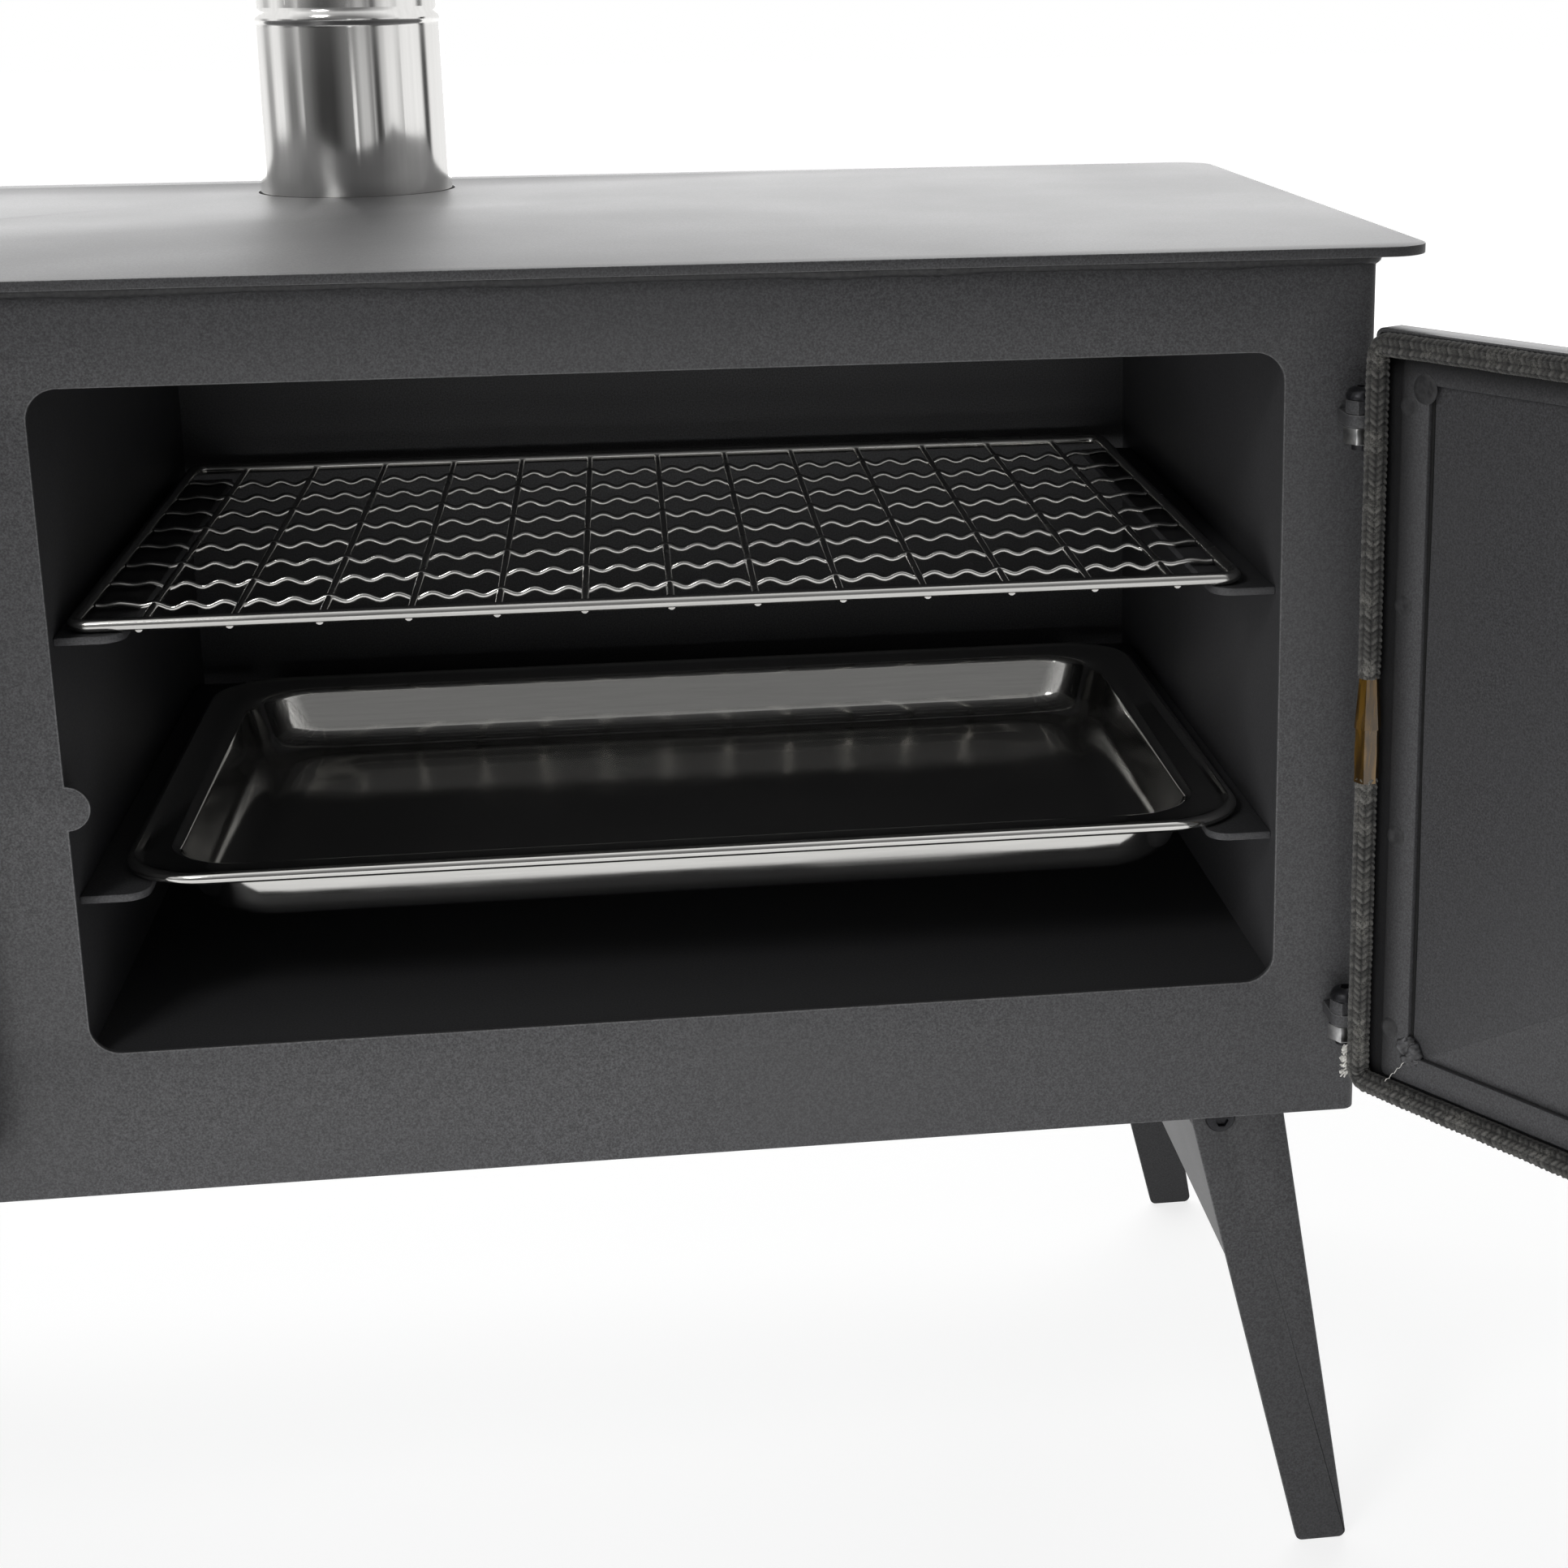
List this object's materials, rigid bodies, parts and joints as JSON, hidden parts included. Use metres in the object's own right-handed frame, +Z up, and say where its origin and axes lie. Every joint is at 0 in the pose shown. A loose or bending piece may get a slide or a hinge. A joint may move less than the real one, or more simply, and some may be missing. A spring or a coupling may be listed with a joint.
{
  "type": "tent stove",
  "caption": "Portable sheet-steel tent stove with a firebox, a side oven with rack and tray, hinged sealed doors, a round flue and fold-under legs.",
  "frame": {"origin": "on the ground, under the middle of the body's width and depth", "axes": "+Z up, -Y out of the doors, +X toward the oven end"},
  "size_m": [0.8818, 0.6634, 0.745],
  "materials": {
    "painted_steel": "matte high-temperature paint",
    "oven_steel": "matte dark",
    "stainless": "polished",
    "flue_stainless": "mirror polished",
    "black_bolt": "black oxide",
    "bright_nut": "zinc plated",
    "glass_rope": "braided glass fibre",
    "tape": "amber heat-proof tape",
    "grip_wood": "oiled beech",
    "window": "clear ceramic glass",
    "fibre": "flat fibre gasket",
    "grate_iron": "raw"
  },
  "bodies": {
    "stove_body": {"front_panel": "painted_steel", "left_side_panel": "painted_steel", "right_side_panel": "painted_steel", "rear_panel": "painted_steel", "bottom_panel": "painted_steel", "top_plate": "painted_steel", "flue_spigot": "painted_steel", "oven_floor": "oven_steel", "oven_ceiling": "oven_steel", "oven_left_wall": "oven_steel", "oven_right_wall": "oven_steel", "oven_back_wall": "oven_steel", "upper_ledges": "oven_steel", "lower_ledges": "oven_steel", "firebox_partition": "painted_steel", "grate_rails": "painted_steel", "hinge_fixed_lugs": "painted_steel", "hinge_bolts": "black_bolt", "hinge_nuts": "bright_nut", "leg_brackets": "painted_steel", "leg_bolts": "black_bolt", "leg_nuts": "bright_nut"},
    "oven_door": {"oven_door_pan": "painted_steel", "oven_door_liner": "painted_steel", "oven_door_frame_strip": "painted_steel", "oven_door_rope_seal": "glass_rope", "oven_door_hinge_lugs": "painted_steel", "oven_door_latch_bush": "painted_steel", "oven_door_seal_tape": "tape"},
    "oven_latch": {"oven_door_latch_shaft": "black_bolt", "oven_door_latch_cam": "painted_steel", "oven_door_latch_nut": "bright_nut", "oven_door_handle_lever": "painted_steel", "oven_door_handle_grip": "grip_wood"},
    "fire_door": {"fire_door_pan": "painted_steel", "fire_door_liner": "painted_steel", "fire_door_frame_strip": "painted_steel", "fire_door_rope_seal": "glass_rope", "fire_door_hinge_lugs": "painted_steel", "fire_door_latch_bush": "painted_steel", "fire_door_window_glass": "window", "fire_door_window_gasket": "fibre", "fire_door_shutter_guides": "painted_steel"},
    "fire_latch": {"fire_door_latch_shaft": "black_bolt", "fire_door_latch_cam": "painted_steel", "fire_door_latch_nut": "bright_nut", "fire_door_handle_lever": "painted_steel", "fire_door_handle_grip": "grip_wood"},
    "air_shutter": {"fire_door_air_shutter": "painted_steel"},
    "wire_rack": {"rack_frame": "stainless", "rack_rods": "stainless", "rack_cross_wires": "stainless"},
    "tray": {"baking_tray": "stainless"},
    "flue": {"flue_pipe": "flue_stainless"},
    "grate": {"fire_grate": "grate_iron"},
    "left_legs": {"left_leg_frame": "painted_steel"},
    "right_legs": {"right_leg_frame": "painted_steel"}
  },
  "joints": [
    {"name": "oven_door_swing", "type": "hinge", "parent": "stove_body", "child": "oven_door", "pos_m": [0.3125, -0.163, 0.297], "axis": [0, 0, 1], "range_deg": [-121.8, 43.2]},
    {"name": "oven_latch_turn", "type": "hinge", "parent": "oven_door", "child": "oven_latch", "pos_m": [0.50352, -0.47109, 0.297], "axis": [-0.8499, -0.527, 0], "range_deg": [0, 90]},
    {"name": "fire_door_swing", "type": "hinge", "parent": "stove_body", "child": "fire_door", "pos_m": [-0.3125, -0.163, 0.297], "axis": [0, 0, -1], "range_deg": [0, 120]},
    {"name": "fire_latch_turn", "type": "hinge", "parent": "fire_door", "child": "fire_latch", "pos_m": [-0.137, -0.163, 0.297], "axis": [0, -1, 0], "range_deg": [0, 90]},
    {"name": "air_shutter_slide", "type": "slide", "parent": "fire_door", "child": "air_shutter", "axis": [1, 0, 0], "range_m": [0, 0.018]},
    {"name": "rack_slide", "type": "slide", "parent": "stove_body", "child": "wire_rack", "axis": [0, -1, 0], "range_m": [0, 0.19]},
    {"name": "tray_slide", "type": "slide", "parent": "stove_body", "child": "tray", "axis": [0, -1, 0], "range_m": [0, 0.17]},
    {"name": "flue_lift", "type": "slide", "parent": "stove_body", "child": "flue", "axis": [0, 0, 1], "range_m": [0, 0.06]},
    {"name": "grate_lift", "type": "slide", "parent": "stove_body", "child": "grate", "axis": [0, 0, 1], "range_m": [0, 0.05]},
    {"name": "left_leg_fold", "type": "hinge", "parent": "stove_body", "child": "left_legs", "pos_m": [-0.2802, 0, 0.1628], "axis": [0, -1, 0], "range_deg": [0, 103.5]},
    {"name": "right_leg_fold", "type": "hinge", "parent": "stove_body", "child": "right_legs", "pos_m": [0.2802, 0, 0.1628], "axis": [0, 1, 0], "range_deg": [0, 103.5]}
  ]
}
